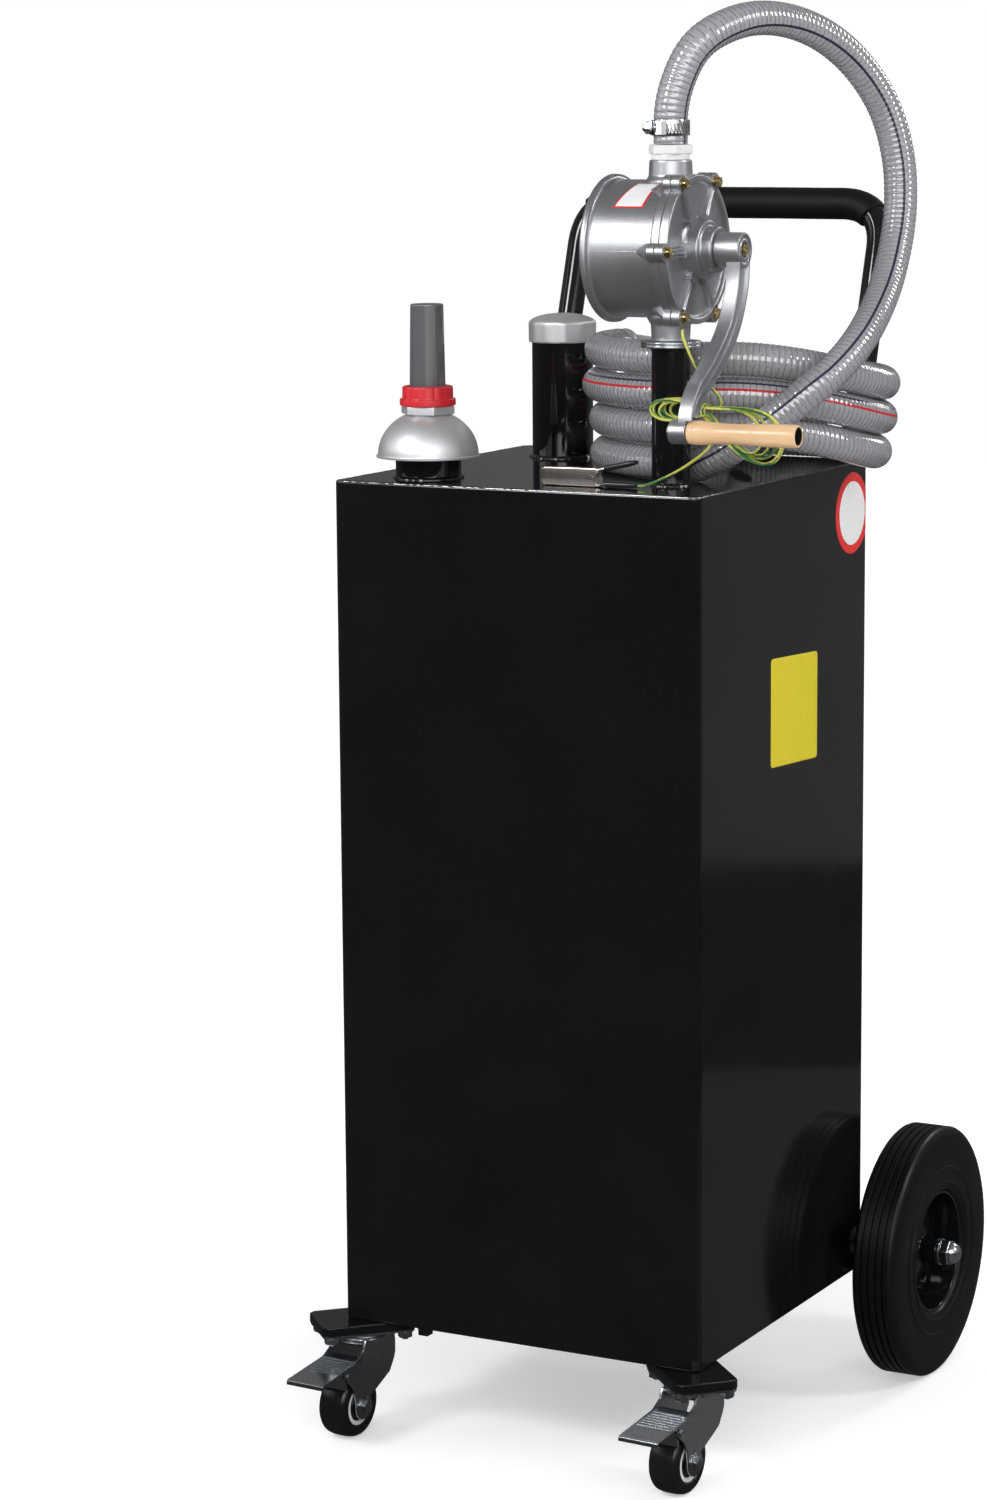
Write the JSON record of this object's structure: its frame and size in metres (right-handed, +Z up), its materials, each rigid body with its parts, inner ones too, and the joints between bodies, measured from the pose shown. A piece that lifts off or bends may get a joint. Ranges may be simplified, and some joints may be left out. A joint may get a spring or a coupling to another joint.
{
  "type": "fuel caddy",
  "caption": "Upright wheeled fuel tank with a level gauge, filler cap, rotary hand pump with crank, stored clear hose, earth wire with clamp and a push handle.",
  "frame": {"origin": "floor under the middle of the part's box, measured without its hose and wires", "axes": "+Z up, +X to the right seen from the front, front faces -Y"},
  "size_m": [0.5802, 0.6398, 1.3739],
  "materials": {
    "black_gloss": "gloss powder coat",
    "foam": "foam, matte",
    "tyre": "matte",
    "caster_ring": "satin",
    "zinc": "zinc plated",
    "silver": "satin",
    "red_plastic": "satin",
    "smoke": "clear, smoky",
    "seal": "matte",
    "cast_metal": "cast, painted silver",
    "steel": "bare",
    "brass": "satin",
    "wood": "varnished",
    "tape": "satin",
    "hose": "clear, steel spiral inside",
    "wire": "yellow and green",
    "sleeve": "satin"
  },
  "bodies": {
    "caddy": {"tank_shell": "black_gloss", "tank_top": "black_gloss", "gauge_collar": "black_gloss", "filler_neck": "black_gloss", "pump_riser": "black_gloss", "suction_tube": "black_gloss", "handle_frame": "black_gloss", "drain_plug": "black_gloss", "axle_bracket_left": "black_gloss", "axle_bracket_right": "black_gloss", "caster_bracket_left": "black_gloss", "caster_bracket_right": "black_gloss", "handle_grip": "foam", "rear_axle": "zinc", "pump_flange": "zinc", "hose_clamp": "zinc", "hose_spout": "zinc", "caster_plate_left": "zinc", "caster_plate_right": "zinc", "gauge_dome": "silver", "gauge_base": "silver", "lock_ring": "red_plastic", "level_vial": "smoke", "wire_tie": "seal", "pump_housing": "cast_metal", "pump_cover": "cast_metal", "jaw_lower": "steel", "clamp_spring": "steel", "outlet_fitting": "tape", "hose_arch": "hose", "hose_coil": "hose", "earth_wire_drop": "wire", "earth_wire_hank": "wire", "earth_wire_lead": "wire", "sleeve_lower": "sleeve"},
    "level": {"level_float": "red_plastic"},
    "cap_lift": {"cap_seal": "seal"},
    "cap": {"filler_cap": "silver"},
    "crank": {"pump_rotor": "steel", "pump_vane": "steel", "crank_arm": "cast_metal", "crank_screw": "brass", "crank_pin": "steel"},
    "grip": {"crank_grip": "wood"},
    "clamp_jaw": {"jaw_upper": "steel", "sleeve_upper": "sleeve"},
    "wheel_left": {"rear_tyre_left": "tyre", "rear_rim_left": "black_gloss"},
    "swivel_left": {"caster_fork_left": "zinc", "caster_axle_left": "zinc"},
    "caster_wheel_left": {"caster_tyre_left": "tyre", "caster_hub_left": "caster_ring"},
    "pedal_left": {"brake_pedal_left": "zinc"},
    "wheel_right": {"rear_tyre_right": "tyre", "rear_rim_right": "black_gloss"},
    "swivel_right": {"caster_fork_right": "zinc", "caster_axle_right": "zinc"},
    "caster_wheel_right": {"caster_tyre_right": "tyre", "caster_hub_right": "caster_ring"},
    "pedal_right": {"brake_pedal_right": "zinc"}
  },
  "joints": [
    {"name": "float_slide", "type": "slide", "parent": "caddy", "child": "level", "axis": [0, 0, 1], "range_m": [0, 0.07]},
    {"name": "cap_lift", "type": "slide", "parent": "caddy", "child": "cap_lift", "axis": [0, 0, 1], "range_m": [0, 0.04]},
    {"name": "cap_turn", "type": "hinge", "parent": "cap_lift", "child": "cap", "pos_m": [-0.1034, 0.06186, 1.061], "axis": [0, 0, 1], "continuous": true},
    {"name": "crank_turn", "type": "hinge", "parent": "caddy", "child": "crank", "pos_m": [0.1146, -0.14314, 1.15], "axis": [1, 0, 0], "range_deg": [-220, 8]},
    {"name": "grip_spin", "type": "hinge", "parent": "crank", "child": "grip", "pos_m": [0.2336, -0.24822, 0.99294], "axis": [1, 0, 0], "continuous": true},
    {"name": "wheel_left_roll", "type": "hinge", "parent": "caddy", "child": "wheel_left", "pos_m": [-0.2454, 0.19286, 0.127], "axis": [1, 0, 0], "continuous": true},
    {"name": "wheel_right_roll", "type": "hinge", "parent": "caddy", "child": "wheel_right", "pos_m": [0.2326, 0.19286, 0.127], "axis": [1, 0, 0], "continuous": true},
    {"name": "swivel_left", "type": "hinge", "parent": "caddy", "child": "swivel_left", "pos_m": [-0.1844, -0.21814, 0.097], "axis": [0, 0, 1], "continuous": true},
    {"name": "caster_left_roll", "type": "hinge", "parent": "swivel_left", "child": "caster_wheel_left", "pos_m": [-0.18628, -0.24507, 0.032], "axis": [0.9976, -0.0698, 0], "continuous": true},
    {"name": "pedal_left_press", "type": "hinge", "parent": "swivel_left", "child": "pedal_left", "pos_m": [-0.18824, -0.27301, 0.069], "axis": [0.9976, -0.0698, 0], "range_deg": [0, 12]},
    {"name": "swivel_right", "type": "hinge", "parent": "caddy", "child": "swivel_right", "pos_m": [0.1716, -0.21814, 0.097], "axis": [0, 0, 1], "continuous": true},
    {"name": "caster_right_roll", "type": "hinge", "parent": "swivel_right", "child": "caster_wheel_right", "pos_m": [0.16972, -0.24507, 0.032], "axis": [0.9976, -0.0698, 0], "continuous": true},
    {"name": "pedal_right_press", "type": "hinge", "parent": "swivel_right", "child": "pedal_right", "pos_m": [0.16776, -0.27301, 0.069], "axis": [0.9976, -0.0698, 0], "range_deg": [0, 12]},
    {"name": "clamp_open", "type": "hinge", "parent": "caddy", "child": "clamp_jaw", "pos_m": [0.0556, -0.18514, 0.94195], "axis": [0, 1, 0], "range_deg": [0, 15], "stiffness_Nm_per_rad": 0.15, "springref_deg": -17.19}
  ]
}
